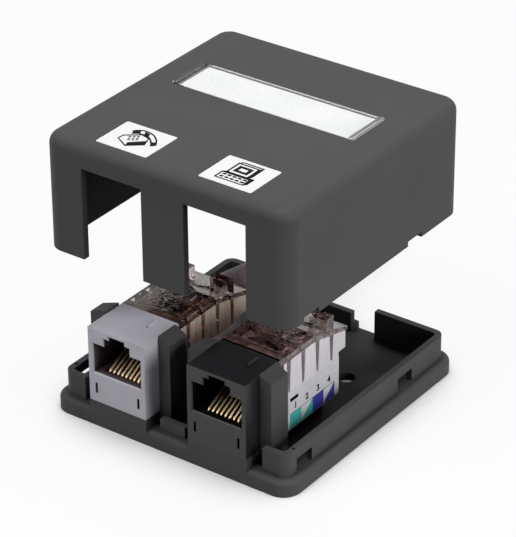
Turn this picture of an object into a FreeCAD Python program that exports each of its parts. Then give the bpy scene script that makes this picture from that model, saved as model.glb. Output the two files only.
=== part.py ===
import FreeCAD, Part
import math
import os
import types

import Sketcher

# Surface mount jack box with two jacks: a moulded base tray, and a cover that is
# shown lifted straight up off it. X runs along the front, Y to the back and Z up.
# The origin is the centre of the tray's underside.

SIZES = {
    # Base tray
    "base_width": 59.2,
    "base_depth": 60.8,
    "base_corner_radius": 4.0,
    "flange_height": 3.5,
    "flange_edge_radius": 1.2,
    "floor_thickness": 1.8,
    "wall_inset": 1.8,
    "wall_thickness": 1.4,
    "wall_height": 8.8,
    "wall_corner_radius": 2.2,
    # Front edge of the tray
    "front_opening_width": 44.2,
    "centre_stop_width": 6.2,
    "centre_stop_height": 6.2,
    "ledge_width": 14.3,
    "ledge_depth": 4.4,
    "ledge_height": 5.9,
    "rear_rib_depth": 1.2,
    # Rear edge of the tray
    "cable_slot_left": 5.0,
    "cable_slot_width": 6.0,
    "cable_slot_floor": 1.2,
    "sill_width": 28.4,
    "sill_height": 6.4,
    # Posts beside each jack, rails under it and holes in the floor
    "post_rise": 0.5,
    "post_slope": 1.5,
    "right_post_thickness": 2.8,
    "right_post_start": 4.5,
    "right_post_depth": 5.6,
    "left_post_thickness": 4.2,
    "left_post_start": 6.3,
    "left_post_depth": 4.0,
    "rail_spacing": 9.0,
    "rail_width": 1.2,
    "rail_length": 16.0,
    "mounting_hole_spacing": 29.2,
    "mounting_hole_back": 11.5,
    "mounting_hole_radius": 1.9,
    "pin_hole_width": 0.7,
    "pin_hole_depth": 2.0,
    "pin_hole_forward": 25.2,
    # Snap windows in the tray and hooks on the cover
    "front_snap_forward": 22.5,
    "rear_snap_back": 13.3,
    "window_width": 5.2,
    "window_lift": 0.1,
    "window_height": 3.0,
    "hook_side_gap": 0.35,
    "hook_top_gap": 0.1,
    "hook_reach": 0.65,
    "hook_height": 1.3,
    "hook_lead": 0.5,
    "hook_root": 0.7,
    "notch_side_gap": 0.15,
    "notch_height": 1.1,
    # Cover
    "cover_lift": 34.5,
    "cover_gap": 0.1,
    "cover_wall": 1.5,
    "cover_top": 1.6,
    "cover_height": 25.25,
    "cover_corner_radius": 3.8,
    "cover_edge_radius": 2.5,
    "jack_opening_width": 14.6,
    "jack_opening_head": 0.8,
    "cable_notch_width": 7.0,
    "cable_notch_height": 13.5,
    # Label pocket, label and clear window
    "label_length": 44.2,
    "label_depth": 11.1,
    "label_pocket_depth": 1.25,
    "label_pad_border": 1.2,
    "label_pad_thickness": 1.55,
    "paper_thickness": 0.2,
    "paper_end_gap": 1.8,
    "paper_side_gap": 0.6,
    "label_window_gap": 0.1,
    "label_window_thickness": 1.1,
    "label_ridge_width": 0.7,
    "label_ridge_height": 0.35,
    "label_ridge_inset": 0.3,
    # Icon plates in the top
    "icon_width": 12.5,
    "icon_depth": 10.4,
    "icon_thickness": 0.6,
    "icon_corner_radius": 0.5,
    "icon_gap": 0.1,
    "icon_margin": 3.2,
    # Screw that holds the cover to the tray
    "screw_back": 7.4,
    "boss_radius": 2.9,
    "boss_gap": 0.1,
    "pilot_radius": 1.4,
    "pilot_depth": 9.9,
    "sleeve_radius": 3.6,
    "sleeve_reach": 6.25,
    "counterbore_depth": 1.65,
    "screw_head_radius": 2.4,
    "screw_head_height": 1.4,
    "screw_head_gap": 0.2,
    "screw_shank_radius": 1.3,
    "screw_shank_gap": 0.3,
    "screw_length": 12.0,
    "screw_tip_length": 1.6,
    "screw_tip_radius": 0.3,
    "screw_recess_length": 2.8,
    "screw_recess_width": 0.6,
    "screw_recess_depth": 0.8,
    # Jack housing, in a frame at its own front bottom edge
    "jack_pitch": 24.7,
    "jack_side_gap": 0.1,
    "jack_width": 14.2,
    "jack_height": 17.0,
    "jack_depth": 12.8,
    "port_width": 11.8,
    "port_height": 6.55,
    "port_roof": 0.9,
    "port_depth": 10.9,
    "key_width": 6.4,
    "key_height": 1.85,
    "latch_width": 3.8,
    "latch_height": 0.9,
    "port_bevel": 0.3,
    "trough_width": 8.8,
    "trough_depth": 1.2,
    "trough_start": 1.5,
    "trough_rib_width": 0.3,
    "face_slot_width": 0.55,
    "face_slot_height": 2.4,
    "face_slot_floor": 2.0,
    "face_slot_depth": 0.8,
    "face_slot_offset": 5.3,
    "top_ridge_width": 0.7,
    "top_ridge_height": 0.35,
    "top_ridge_offset": 2.85,
    "top_ridge_start": 6.6,
    "top_ridge_length": 3.3,
    "cap_seat_depth": 1.5,
    # Spring contacts in the port
    "contact_pitch": 1.02,
    "contact_width": 0.45,
    "contact_thickness": 0.35,
    "contact_bend": 0.45,
    "contact_front": 2.4,
    "contact_rise_length": 6.4,
    "contact_rise_height": 3.3,
    # Wire comb behind the housing
    "comb_drop": 0.9,
    "comb_length": 19.0,
    "comb_overhang": 2.4,
    "comb_overhang_height": 6.5,
    "comb_flat_length": 10.8,
    "comb_rear_drop": 2.6,
    "comb_slot_first": 1.7,
    "comb_slot_pitch": 4.92,
    "comb_slot_mouth": 1.4,
    "comb_slot_foot": 0.7,
    "comb_slot_depth": 7.3,
    "tooth_fold_width": 1.0,
    "tooth_fold_depth": 0.3,
    "comb_channel_width": 8.6,
    "comb_channel_depth": 6.4,
    "comb_channel_start": 1.2,
    # Clear cap over the comb
    "cap_thickness": 1.6,
    "cap_gap": 0.05,
    "cap_overhang": 0.7,
    "cap_rear_thickness": 0.9,
    "cap_hollow_depth": 0.7,
    "cap_hollow_width": 11.0,
    "cap_hollow_end": 1.0,
    "cap_rib_width": 0.6,
    "cap_rib_length": 12.6,
    "cap_rib_reach": 1.0,
    "cap_disc_radius": 3.8,
    "cap_disc_height": 0.3,
    "cap_disc_back": 20.4,
    "cap_rim_width": 0.7,
    "cap_rim_opening": 0.9,
    "cap_ear_width": 4.3,
    "cap_ear_depth": 2.3,
    "cap_ear_start": 27.6,
    "cap_ear_rise": 1.5,
    # Board, terminals and wiring labels
    "board_width": 10.0,
    "board_thickness": 1.0,
    "board_floor": 0.4,
    "board_head": 1.4,
    "board_gap": 0.05,
    "terminal_offset": 5.7,
    "terminal_thickness": 0.4,
    "terminal_width": 2.4,
    "terminal_height": 5.6,
    "terminal_foot": 0.7,
    "terminal_fork_width": 1.05,
    "terminal_fork_depth": 4.0,
    "terminal_gap": 0.05,
    "wiring_label_thickness": 0.1,
    "wiring_label_start": 1.6,
    "wiring_label_floor": 0.2,
    "wiring_label_head": 0.2,
    # Cable and its conductors
    "cable_diameter": 5.5,
    "cable_start_gap": 0.1,
    "cable_exit_depth": 3.8,
    "conductor_diameter": 0.9,
    "conductor_lane": 1.1,
    "conductor_layer": 0.95,
    "conductor_gap": 0.17,
    "conductor_corner": 1.0,
    "conductor_tail": 0.1,
}

CONTACT_COUNT = 8
COMB_SLOT_COUNT = 4
CORE_FLATS = 8
SIDES = {"left": -1, "right": 1}
EDGE_TOLERANCE = 0.001

# The cable leaves the left jack and sinks to the surface behind the tray. Each point
# is a step on from the one before it: to the right, to the back and up.
CABLE_STEPS = [(0.0, 22.9, -3.6), (-0.4, 23.0, -8.5), (-1.5, 22.4, -2.6), (-1.6, 12.6, 0.0)]
CABLE_ARC_SHARE = 0.45


class Size:
    """A length that keeps the spreadsheet formula that gave it."""

    def __init__(self, value, formula):
        self.value = value
        self.formula = formula

    def __add__(self, other):
        other = as_size(other)
        return Size(self.value + other.value, f"({self.formula} + {other.formula})")

    def __radd__(self, other):
        return as_size(other) + self

    def __sub__(self, other):
        other = as_size(other)
        return Size(self.value - other.value, f"({self.formula} - {other.formula})")

    def __rsub__(self, other):
        return as_size(other) - self

    def __mul__(self, other):
        other = as_size(other)
        return Size(self.value * other.value, f"({self.formula} * {other.formula})")

    def __rmul__(self, other):
        return as_size(other) * self

    def __truediv__(self, other):
        other = as_size(other)
        return Size(self.value / other.value, f"({self.formula} / {other.formula})")

    def __neg__(self):
        return as_size(0) - self


def as_size(number):
    if isinstance(number, Size):
        return number
    return Size(float(number), f"({float(number)!r})")


doc = FreeCAD.newDocument("jack_box")
sheet = doc.addObject("Spreadsheet::Sheet", "sizes")
for row, (alias, number) in enumerate(SIZES.items(), start=1):
    sheet.set(f"A{row}", alias)
    sheet.set(f"B{row}", str(number))
    sheet.setAlias(f"B{row}", alias)
doc.recompute()
size = types.SimpleNamespace(**{alias: Size(number, f"sizes.{alias}") for alias, number in SIZES.items()})
nodes = []


def bind(feature, path, length):
    feature.setExpression(path, as_size(length).formula)


def place(feature, position):
    for axis, length in zip("xyz", position):
        bind(feature, f"Placement.Base.{axis}", length)


def new_body(label, position):
    body = doc.addObject("PartDesign::Body", label)
    body.Label = label
    place(body, position)
    nodes.append(body)
    return body


def around(centre, width):
    return centre - width / 2, centre + width / 2


def mirrored(span, side):
    low, high = span
    return (low, high) if side > 0 else (-high, -low)


def block(body, name, x, y, z, cut=False):
    """A box between two positions along each axis."""
    box = body.newObject("PartDesign::SubtractiveBox" if cut else "PartDesign::AdditiveBox", name)
    for side_name, (low, high) in zip(("Length", "Width", "Height"), (x, y, z)):
        bind(box, side_name, high - low)
    place(box, (x[0], y[0], z[0]))
    return box


def rod(body, name, x, y, z, radius, cut=False):
    """An upright cylinder on (x, y)."""
    kind = "PartDesign::SubtractiveCylinder" if cut else "PartDesign::AdditiveCylinder"
    cylinder = body.newObject(kind, name)
    bind(cylinder, "Radius", radius)
    bind(cylinder, "Height", z[1] - z[0])
    place(cylinder, (x, y, z[0]))
    return cylinder


def new_sketch(body, name, plane, offset):
    sketch = body.newObject("Sketcher::SketchObject", name)
    support = next(item for item in body.Origin.OriginFeatures if item.Role == plane)
    sketch.AttachmentSupport = [(support, "")]
    sketch.MapMode = "FlatFace"
    toward_plane = -1 if plane == "XZ_Plane" else 1
    bind(sketch, "AttachmentOffset.Base.z", offset * toward_plane)
    return sketch


def constrain(sketch, kind, where, length):
    """Adds a dimension that follows the spreadsheet."""
    length = as_size(length)
    index = sketch.addConstraint(Sketcher.Constraint(kind, *where, length.value))
    sketch.setExpression(f"Constraints[{index}]", length.formula)


def draw_polygon(sketch, points):
    corners = [FreeCAD.Vector(as_size(u).value, as_size(v).value, 0) for u, v in points]
    for index, corner in enumerate(corners):
        sketch.addGeometry(Part.LineSegment(corner, corners[(index + 1) % len(corners)]), False)
    for index, (u, v) in enumerate(points):
        before = (index - 1) % len(points)
        sketch.addConstraint(Sketcher.Constraint("Coincident", before, 2, index, 1))
        constrain(sketch, "DistanceX", (-1, 1, index, 1), u)
        constrain(sketch, "DistanceY", (-1, 1, index, 1), v)


def draw_path(sketch, turns):
    """Straight runs from one turn to the next."""
    points = [FreeCAD.Vector(u.value, v.value, 0) for u, v in turns]
    for index, (before, after) in enumerate(zip(points, points[1:])):
        sketch.addGeometry(Part.LineSegment(before, after), False)
        if index:
            sketch.addConstraint(Sketcher.Constraint("Coincident", index - 1, 2, index, 1))
        constrain(sketch, "DistanceX", (-1, 1, index, 1), turns[index][0])
        constrain(sketch, "DistanceY", (-1, 1, index, 1), turns[index][1])
    constrain(sketch, "DistanceX", (-1, 1, len(turns) - 2, 2), turns[-1][0])
    constrain(sketch, "DistanceY", (-1, 1, len(turns) - 2, 2), turns[-1][1])


def draw_rounded_rectangle(sketch, u, v, radius):
    """Four sides joined by four tangent arcs of one radius."""
    left, right = (side.value for side in u)
    low, high = (side.value for side in v)
    bend = radius.value
    corners = [(left + bend, low + bend), (right - bend, low + bend),
               (right - bend, high - bend), (left + bend, high - bend)]
    for quarter, (centre_u, centre_v) in enumerate(corners):
        start = math.pi + quarter * math.pi / 2
        circle = Part.Circle(FreeCAD.Vector(centre_u, centre_v, 0), FreeCAD.Vector(0, 0, 1), bend)
        sketch.addGeometry(Part.ArcOfCircle(circle, start, start + math.pi / 2), False)
    for quarter in range(4):
        start = sketch.getPoint(quarter, 2)
        end = sketch.getPoint((quarter + 1) % 4, 1)
        sketch.addGeometry(Part.LineSegment(start, end), False)
    for quarter in range(4):
        line = quarter + 4
        sketch.addConstraint(Sketcher.Constraint("Tangent", quarter, 2, line, 1))
        sketch.addConstraint(Sketcher.Constraint("Tangent", line, 2, (quarter + 1) % 4, 1))
        sketch.addConstraint(Sketcher.Constraint("Horizontal" if quarter % 2 == 0 else "Vertical", line))
        if quarter > 0:
            sketch.addConstraint(Sketcher.Constraint("Equal", 0, quarter))
    constrain(sketch, "Radius", (0,), radius)
    constrain(sketch, "DistanceY", (-1, 1, 4, 1), v[0])
    constrain(sketch, "DistanceX", (-1, 1, 5, 1), u[1])
    constrain(sketch, "DistanceY", (-1, 1, 6, 1), v[1])
    constrain(sketch, "DistanceX", (-1, 1, 7, 1), u[0])


def extrude(body, name, sketch, length, cut):
    """Adds or cuts the sketch's shape, from the sketch towards +X, +Y or +Z."""
    feature = body.newObject("PartDesign::Pocket" if cut else "PartDesign::Pad", name)
    feature.Profile = sketch
    bind(feature, "Length", length)
    faces_front = sketch.AttachmentSupport[0][0].Role == "XZ_Plane"
    feature.Reversed = faces_front != cut
    return feature


def prism(body, name, plane, span, points, cut=False):
    sketch = new_sketch(body, f"{name}_outline", plane, span[0])
    draw_polygon(sketch, points)
    return extrude(body, name, sketch, span[1] - span[0], cut)


def rounded_block(body, name, x, y, z, radius, cut=False):
    sketch = new_sketch(body, f"{name}_outline", "XY_Plane", z[0])
    draw_rounded_rectangle(sketch, x, y, radius)
    return extrude(body, name, sketch, z[1] - z[0], cut)


def finish_edges(body, name, kind, amount, wanted):
    """Rounds or bevels the edges of the body's last shape that the test accepts."""
    doc.recompute()
    last = body.Tip
    edges = [f"Edge{number}" for number, edge in enumerate(last.Shape.Edges, start=1) if wanted(edge)]
    feature = body.newObject(f"PartDesign::{kind}", name)
    feature.Base = (last, edges)
    bind(feature, "Radius" if kind == "Fillet" else "Size", amount)
    return feature


def lies_at(edge, axis, length):
    """True for an edge whose ends and middle all have one coordinate."""
    middle = edge.valueAt((edge.FirstParameter + edge.LastParameter) / 2)
    points = [vertex.Point for vertex in edge.Vertexes] + [middle]
    return all(abs(getattr(point, axis) - length.value) < EDGE_TOLERANCE for point in points)


# Places that several pieces share
wall_x = size.base_width / 2 - size.wall_inset
wall_y = size.base_depth / 2 - size.wall_inset
inner_x = wall_x - size.wall_thickness
inner_y = wall_y - size.wall_thickness
cover_inner_x = wall_x + size.cover_gap
cover_inner_y = wall_y + size.cover_gap
cover_x = cover_inner_x + size.cover_wall
cover_y = cover_inner_y + size.cover_wall
cover_base = (as_size(0), as_size(0), size.flange_height + size.cover_lift)
pocket_floor = size.cover_height - size.label_pocket_depth
screw_seat = pocket_floor - size.counterbore_depth
jack_front = -size.base_depth / 2
jack_top = size.ledge_height + size.jack_height
snap_places = (-size.front_snap_forward, size.rear_snap_back)
window_floor = size.flange_height + size.window_lift
icon_centre_y = size.icon_margin + size.icon_depth / 2 - cover_y
latch_roof = size.jack_height - size.port_roof
latch_floor = latch_roof - size.latch_height
key_floor = latch_floor - size.key_height
port_floor = key_floor - size.port_height
comb_front = size.jack_depth
comb_rear = comb_front + size.comb_length + size.comb_overhang
comb_top = size.jack_height - size.cap_thickness
comb_flat_end = comb_front + size.comb_flat_length
comb_slot_floor = comb_top - size.comb_slot_depth
comb_overhang_floor = comb_top - size.comb_overhang_height
board_top = comb_top - size.board_head
terminal_floor = comb_slot_floor - size.terminal_foot
cable_exit_height = comb_top - size.cable_exit_depth
cap_rear = comb_rear + size.cap_overhang


def jack_centre(side):
    return size.jack_pitch / 2 * side


def jack_base(side):
    return jack_centre(side), jack_front, size.ledge_height


def comb_slot(index):
    return comb_front + size.comb_slot_first + size.comb_slot_pitch * index


def comb_top_at(back):
    """Height of the comb's upper edge, which is flat and then falls to the rear."""
    if back.value <= comb_flat_end.value:
        return comb_top
    return comb_top - size.comb_rear_drop * (back - comb_flat_end) / (comb_rear - comb_flat_end)


def make_tray():
    body = new_body("base", (0, 0, 0))
    outer_x = (-size.base_width / 2, size.base_width / 2)
    outer_y = (-size.base_depth / 2, size.base_depth / 2)
    above_wall = size.wall_height + size.wall_thickness

    rounded_block(body, "flange", outer_x, outer_y, (as_size(0), size.flange_height),
                  size.base_corner_radius)
    finish_edges(body, "flange_rounding", "Fillet", size.flange_edge_radius,
                 lambda edge: lies_at(edge, "z", size.flange_height))
    rounded_block(body, "wall", (-wall_x, wall_x), (-wall_y, wall_y), (as_size(0), size.wall_height),
                  size.wall_corner_radius)
    rounded_block(body, "inside", (-inner_x, inner_x), (-inner_y, inner_y),
                  (size.floor_thickness, above_wall), size.wall_corner_radius - size.wall_thickness,
                  cut=True)

    # The front wall stands only at the corners, with a low stop between the jacks
    block(body, "front_opening", around(as_size(0), size.front_opening_width),
          (outer_y[0], -inner_y), (size.flange_height, above_wall), cut=True)
    block(body, "centre_stop", around(as_size(0), size.centre_stop_width), (-wall_y, -inner_y),
          (as_size(0), size.centre_stop_height))
    for label, side in SIDES.items():
        make_jack_seat(body, label, side)

    for label, side in SIDES.items():
        for place_name, snap_y in zip(("front", "rear"), snap_places):
            block(body, f"snap_window_{place_name}_{label}", mirrored((inner_x, outer_x[1]), side),
                  around(snap_y, size.window_width),
                  (window_floor, window_floor + size.window_height), cut=True)
        block(body, f"pin_hole_{label}",
              around((inner_x + size.wall_thickness / 2) * side, size.pin_hole_width),
              around(-size.pin_hole_forward, size.pin_hole_width),
              (size.wall_height - size.pin_hole_depth, size.wall_height), cut=True)
        rod(body, f"mounting_hole_{label}", size.mounting_hole_spacing / 2 * side,
            size.mounting_hole_back, (as_size(0), size.floor_thickness),
            size.mounting_hole_radius, cut=True)

    # The rear wall has a low sill for the jacks' cables and one slot down to the floor
    slot = (size.cable_slot_left, size.cable_slot_left + size.cable_slot_width)
    block(body, "rear_sill", (slot[0] - size.sill_width, slot[0]), (inner_y, outer_y[1]),
          (size.sill_height, above_wall), cut=True)
    block(body, "cable_slot", slot, (inner_y, outer_y[1]), (size.cable_slot_floor, above_wall), cut=True)

    boss_top = size.flange_height + size.cover_height - size.sleeve_reach - size.boss_gap
    rod(body, "screw_boss", as_size(0), size.screw_back, (size.floor_thickness / 2, boss_top),
        size.boss_radius)
    rod(body, "screw_pilot", as_size(0), size.screw_back, (boss_top - size.pilot_depth, boss_top),
        size.pilot_radius, cut=True)


def make_jack_seat(body, label, side):
    """The ledge, rib, rails and two posts that hold one jack."""
    centre = jack_centre(side)
    floor = size.floor_thickness / 2
    block(body, f"ledge_{label}", around(centre, size.ledge_width),
          (jack_front, jack_front + size.ledge_depth), (as_size(0), size.ledge_height))
    rib_back = jack_front + size.jack_depth
    block(body, f"rear_rib_{label}", around(centre, size.rail_spacing + size.rail_width),
          (rib_back - size.rear_rib_depth, rib_back), (floor, size.ledge_height))
    for rail_name, rail_side in SIDES.items():
        rail_x = centre + size.rail_spacing / 2 * rail_side
        block(body, f"rail_{label}_{rail_name}", around(rail_x, size.rail_width),
              (rib_back, rib_back + size.rail_length),
              (floor, size.ledge_height - size.comb_drop))

    reach = size.jack_width / 2 + size.jack_side_gap
    post_top = jack_top + size.post_rise
    posts = {
        "right": (1, size.right_post_thickness, size.right_post_start, size.right_post_depth),
        "left": (-1, size.left_post_thickness, size.left_post_start, size.left_post_depth),
    }
    for post_name, (away, thickness, start, depth) in posts.items():
        near = centre + reach * away
        far = centre + (reach + thickness) * away
        outline = [(near, floor), (far, floor), (far, post_top - size.post_slope), (near, post_top)]
        prism(body, f"post_{label}_{post_name}", "XZ_Plane",
              (jack_front + start, jack_front + start + depth), outline)


def make_cover():
    body = new_body("cover", cover_base)
    inner_top = size.cover_height - size.cover_top
    below = -size.cover_wall
    rounded_block(body, "shell", (-cover_x, cover_x), (-cover_y, cover_y),
                  (as_size(0), size.cover_height), size.cover_corner_radius)
    finish_edges(body, "shell_rounding", "Fillet", size.cover_edge_radius,
                 lambda edge: lies_at(edge, "z", size.cover_height))
    rounded_block(body, "hollow", (-cover_inner_x, cover_inner_x), (-cover_inner_y, cover_inner_y),
                  (below, inner_top), size.cover_corner_radius - size.cover_wall, cut=True)

    opening_top = jack_top + size.jack_opening_head - size.flange_height
    for label, side in SIDES.items():
        block(body, f"jack_opening_{label}", around(jack_centre(side), size.jack_opening_width),
              (-cover_y, -cover_inner_y), (below, opening_top), cut=True)
        for place_name, snap_y in zip(("front", "rear"), snap_places):
            make_snap_hook(body, f"{place_name}_{label}", side, snap_y)

    # The notch for the left jack's cable ends in a half circle
    notch_x = jack_centre(SIDES["left"])
    notch_radius = size.cable_notch_width / 2
    notch_centre = size.cable_notch_height - notch_radius
    block(body, "cable_notch", around(notch_x, size.cable_notch_width), (cover_inner_y, cover_y),
          (below, notch_centre), cut=True)
    notch_end = body.newObject("PartDesign::SubtractiveCylinder", "cable_notch_end")
    bind(notch_end, "Radius", notch_radius)
    bind(notch_end, "Height", size.cover_wall)
    notch_end.Placement.Rotation = FreeCAD.Rotation(FreeCAD.Vector(1, 0, 0), -90)
    place(notch_end, (notch_x, cover_inner_y, notch_centre))

    # A thicker pad under the top takes the label pocket and the screw's sleeve
    label_x = around(as_size(0), size.label_length)
    label_y = around(size.screw_back, size.label_depth)
    border = size.label_pad_border
    block(body, "label_pad", (label_x[0] - border, label_x[1] + border),
          (label_y[0] - border, label_y[1] + border),
          (pocket_floor - size.label_pad_thickness, size.cover_height - size.cover_top / 2))
    rod(body, "screw_sleeve", as_size(0), size.screw_back,
        (size.cover_height - size.sleeve_reach, pocket_floor), size.sleeve_radius)
    block(body, "label_pocket", label_x, label_y, (pocket_floor, size.cover_height), cut=True)
    rod(body, "screw_counterbore", as_size(0), size.screw_back, (screw_seat, pocket_floor),
        size.screw_head_radius + size.screw_head_gap, cut=True)
    rod(body, "screw_hole", as_size(0), size.screw_back,
        (size.cover_height - size.sleeve_reach, screw_seat),
        size.screw_shank_radius + size.screw_shank_gap, cut=True)

    for label, side in SIDES.items():
        rounded_block(body, f"icon_recess_{label}", around(jack_centre(side), size.icon_width),
                      around(icon_centre_y, size.icon_depth),
                      (size.cover_height - size.icon_thickness, size.cover_height),
                      size.icon_corner_radius, cut=True)


def make_snap_hook(body, name, side, snap_y):
    """A notch in the cover's lower edge, and in it a tooth that catches in the tray's window."""
    notch_width = size.window_width - 2 * size.notch_side_gap
    block(body, f"snap_notch_{name}", mirrored((cover_inner_x, cover_x), side),
          around(snap_y, notch_width), (as_size(0), size.notch_height), cut=True)
    catch = size.window_lift + size.window_height - size.hook_top_gap
    foot = catch - size.hook_height
    tooth = cover_inner_x - size.hook_reach
    root = cover_inner_x + size.hook_root
    crown = catch + size.hook_root
    outline = [(root, foot), (tooth + size.hook_lead, foot), (tooth, foot + size.hook_lead),
               (tooth, catch), (cover_inner_x, catch), (cover_inner_x, crown), (root, crown)]
    hook_width = size.window_width - 2 * size.hook_side_gap
    prism(body, f"snap_hook_{name}", "XZ_Plane", around(snap_y, hook_width),
          [(across * side, up) for across, up in outline])


def make_cover_screw():
    body = new_body("cover_screw", cover_base)
    head_top = screw_seat + size.screw_head_height
    tip = screw_seat - size.screw_length
    cone_top = tip + size.screw_tip_length
    rod(body, "head", as_size(0), size.screw_back, (screw_seat, head_top), size.screw_head_radius)
    rod(body, "shank", as_size(0), size.screw_back, (cone_top, screw_seat), size.screw_shank_radius)
    cone = body.newObject("PartDesign::AdditiveCone", "tip")
    bind(cone, "Radius1", size.screw_tip_radius)
    bind(cone, "Radius2", size.screw_shank_radius)
    bind(cone, "Height", size.screw_tip_length)
    place(cone, (0, size.screw_back, tip))
    recess = {"along": (size.screw_recess_length, size.screw_recess_width),
              "across": (size.screw_recess_width, size.screw_recess_length)}
    for name, (length, width) in recess.items():
        block(body, f"recess_{name}", around(as_size(0), length), around(size.screw_back, width),
              (head_top - size.screw_recess_depth, head_top), cut=True)


def make_label():
    """The paper strip on the pocket's floor and the clear window over it."""
    paper_top = pocket_floor + size.paper_thickness
    paper = new_body("paper_label", cover_base)
    block(paper, "strip", around(as_size(0), size.label_length - 2 * size.paper_end_gap),
          around(size.screw_back, size.label_depth - 2 * size.paper_side_gap), (pocket_floor, paper_top))

    window = new_body("label_window", cover_base)
    gap = size.label_window_gap
    length = size.label_length - 2 * gap
    depth = size.label_depth - 2 * gap
    window_top = paper_top + size.label_window_thickness
    block(window, "plate", around(as_size(0), length), around(size.screw_back, depth),
          (paper_top, window_top))
    ridge_end = length / 2 - size.label_ridge_inset
    for label, side in SIDES.items():
        ridge = mirrored((ridge_end - size.label_ridge_width, ridge_end), side)
        block(window, f"ridge_{label}", ridge, around(size.screw_back, depth),
              (paper_top, window_top + size.label_ridge_height))
        foot = mirrored((ridge_end - size.label_ridge_width, length / 2), side)
        block(window, f"foot_{label}", foot, around(size.screw_back, depth),
              (pocket_floor, window_top))


def make_icon_plate(label, side):
    body = new_body(f"icon_plate_{label}", cover_base)
    gap = size.icon_gap
    rounded_block(body, f"plate_{label}", around(jack_centre(side), size.icon_width - 2 * gap),
                  around(icon_centre_y, size.icon_depth - 2 * gap),
                  (size.cover_height - size.icon_thickness, size.cover_height),
                  size.icon_corner_radius - gap)


def port_outline():
    """The stepped mouth of the port: the plug's body, its key and its latch."""
    half_port = size.port_width / 2
    half_key = size.key_width / 2
    half_latch = size.latch_width / 2
    right = [(half_port, port_floor), (half_port, key_floor), (half_key, key_floor),
             (half_key, latch_floor), (half_latch, latch_floor), (half_latch, latch_roof)]
    return right + [(-across, up) for across, up in reversed(right)]


def make_jack_housing(label, side):
    body = new_body(f"jack_housing_{label}", jack_base(side))
    across = around(as_size(0), size.jack_width)
    block(body, f"housing_{label}", across, (as_size(0), size.jack_depth), (as_size(0), size.jack_height))
    seat = size.jack_depth - size.cap_seat_depth
    block(body, f"cap_seat_{label}", across, (seat, size.jack_depth), (comb_top, size.jack_height), cut=True)
    outline = port_outline()
    prism(body, f"port_{label}", "XZ_Plane", (as_size(0), size.port_depth), outline, cut=True)
    half_port = size.port_width.value / 2
    finish_edges(body, f"port_mouth_{label}", "Chamfer", size.port_bevel,
                 lambda edge: lies_at(edge, "y", as_size(0))
                 and edge.BoundBox.ZMin > port_floor.value - EDGE_TOLERANCE
                 and edge.BoundBox.XMin > -half_port - EDGE_TOLERANCE
                 and edge.BoundBox.XMax < half_port + EDGE_TOLERANCE
                 and edge.BoundBox.ZMax < size.jack_height.value - EDGE_TOLERANCE)

    # The contacts lie in a trough in the port's floor, between thin ribs
    trough_floor = port_floor - size.trough_depth
    block(body, f"trough_{label}", around(as_size(0), size.trough_width),
          (size.trough_start, size.jack_depth), (trough_floor, port_floor), cut=True)
    for index in range(CONTACT_COUNT - 1):
        rib_x = size.contact_pitch * (index + 1 - CONTACT_COUNT / 2)
        block(body, f"trough_rib_{label}_{index + 1}", around(rib_x, size.trough_rib_width),
              (size.trough_start, size.jack_depth), (trough_floor, port_floor))

    for slot_name, slot_side in SIDES.items():
        block(body, f"face_slot_{label}_{slot_name}",
              around(size.face_slot_offset * slot_side, size.face_slot_width),
              (as_size(0), size.face_slot_depth),
              (size.face_slot_floor, size.face_slot_floor + size.face_slot_height), cut=True)

    ridge_x = around(size.top_ridge_offset, size.top_ridge_width)
    prism(body, f"top_ridge_{label}", "XZ_Plane",
          (size.top_ridge_start, size.top_ridge_start + size.top_ridge_length),
          [(ridge_x[0], size.jack_height), (ridge_x[1], size.jack_height),
           (size.top_ridge_offset, size.jack_height + size.top_ridge_height)])


def make_contact(label, side, index):
    """A hairpin of flat wire: in along the trough, round at the front and back up the port."""
    name = f"contact_{label}_{index + 1}"
    centre_x, front, bottom = jack_base(side)
    lane = size.contact_pitch * (index - (CONTACT_COUNT - 1) / 2)
    body = new_body(name, (centre_x + lane, front, bottom))
    bend = size.contact_bend
    run_height = port_floor - size.trough_depth + size.contact_thickness / 2
    nose = size.contact_front
    crown = (nose + bend / 2, run_height + 2 * bend)
    turns = [(size.jack_depth, run_height), (nose + bend, run_height), (nose, run_height + bend / 2),
             (nose, run_height + 1.3 * bend), crown,
             (crown[0] + size.contact_rise_length, crown[1] + size.contact_rise_height)]
    path = new_sketch(body, f"{name}_path", "YZ_Plane", as_size(0))
    draw_path(path, turns)
    left, right = around(as_size(0), size.contact_width)
    low, high = around(run_height, size.contact_thickness)
    sweep(body, name, path, size.jack_depth, [(left, low), (right, low), (right, high), (left, high)])


def sweep(body, name, path, start, outline):
    """Sweeps an outline that faces the front along a path of straight runs that begins in it."""
    section = new_sketch(body, f"{name}_section", "XZ_Plane", start)
    draw_polygon(section, outline)
    pipe = body.newObject("PartDesign::AdditivePipe", f"{name}_wire")
    pipe.Profile = section
    pipe.Spine = (path, [])
    pipe.Transition = "Right corner"
    return pipe


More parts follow.
